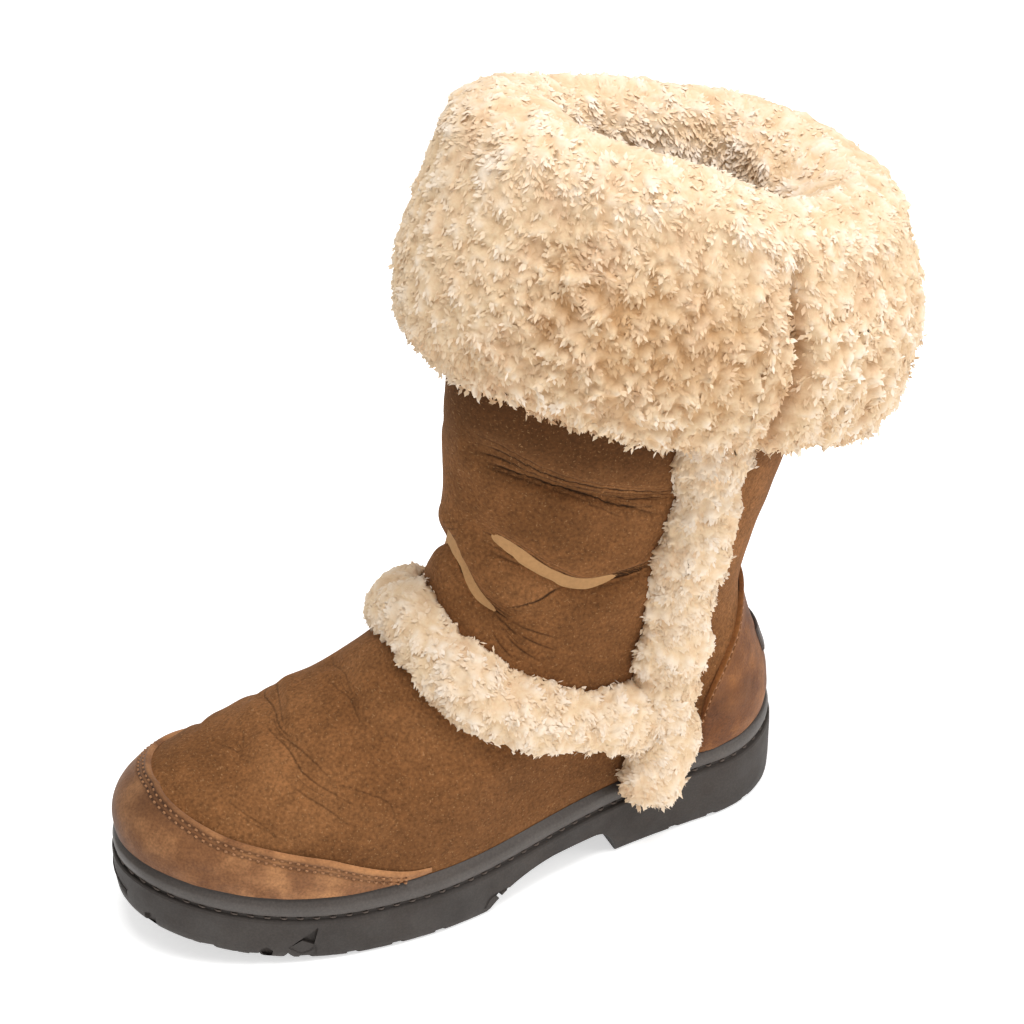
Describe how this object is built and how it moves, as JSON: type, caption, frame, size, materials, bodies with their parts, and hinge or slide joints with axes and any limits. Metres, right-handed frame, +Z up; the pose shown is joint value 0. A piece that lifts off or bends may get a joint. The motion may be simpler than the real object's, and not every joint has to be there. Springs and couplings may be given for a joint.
{
  "type": "sheepskin boot",
  "caption": "Left calf boot with a suede upper, folded fleece cuff, fleece seam strips, leather toe cap and heel counter, and a lugged rubber sole.",
  "frame": {"origin": "middle of the heel tread, on the floor", "axes": "+X towards the toe, +Y towards the outer side of the foot, +Z up"},
  "size_m": [0.3455, 0.1453, 0.3242],
  "materials": {
    "sole_rubber": "matte moulded",
    "rand_rubber": "matte moulded",
    "suede": "napped suede",
    "nubuck": "nubuck",
    "smooth_leather": "satin smooth",
    "fleece": "curly wool pile"
  },
  "bodies": {
    "root": {"outsole": "sole_rubber", "midsole_rand": "rand_rubber", "insole": "fleece", "upper": "suede", "toe_cap": "nubuck", "heel_counter": "smooth_leather", "heel_patch": "smooth_leather", "cuff": "fleece", "side_fur_strip_lateral": "fleece", "side_fur_strip_medial": "fleece", "ankle_fur_strip": "fleece"}
  },
  "joints": []
}
